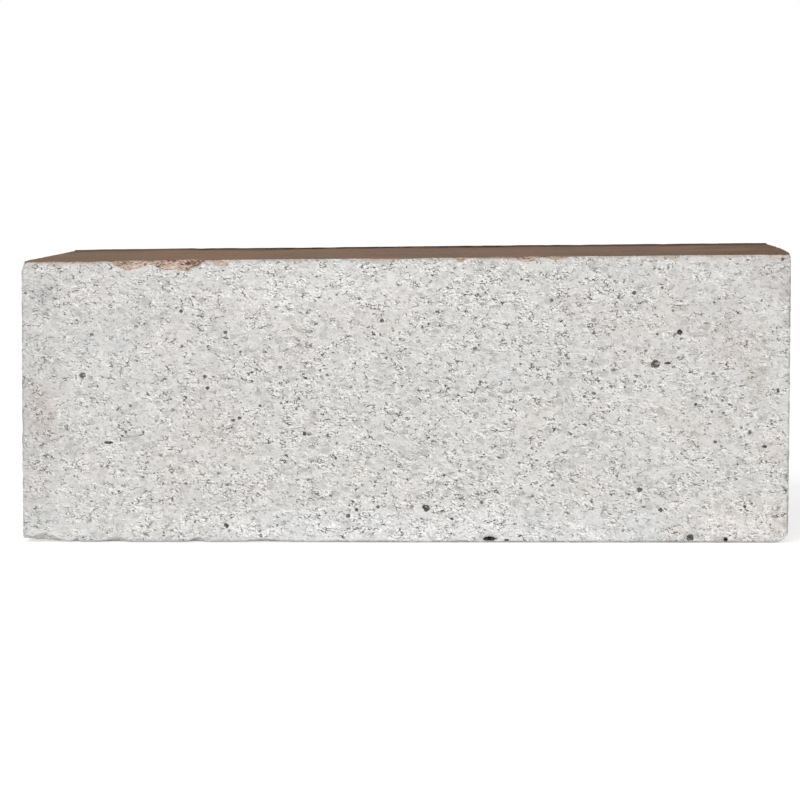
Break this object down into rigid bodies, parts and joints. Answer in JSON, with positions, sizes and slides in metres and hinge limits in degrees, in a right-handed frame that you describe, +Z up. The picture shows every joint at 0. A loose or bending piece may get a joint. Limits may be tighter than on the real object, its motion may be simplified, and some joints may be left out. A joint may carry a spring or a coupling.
{
  "type": "brick",
  "caption": "Solid rectangular brick with pale gritty speckled faces, a smooth brown upper bed, soft arrises and chipped edges, laid in mortar or stacked dry.",
  "frame": {"origin": "middle of the lower bed, the face that the brick lies on", "axes": "+X along the length to the right header, +Y from the front stretcher face to the back, +Z up to the brown upper bed"},
  "size_m": [0.24, 0.115, 0.09],
  "materials": {
    "fired_body": "matt fired body, pale grey with coarse grains and dark specks; the upper bed has a smooth brown skin"
  },
  "bodies": {
    "root": {"brick": "fired_body"}
  },
  "joints": []
}
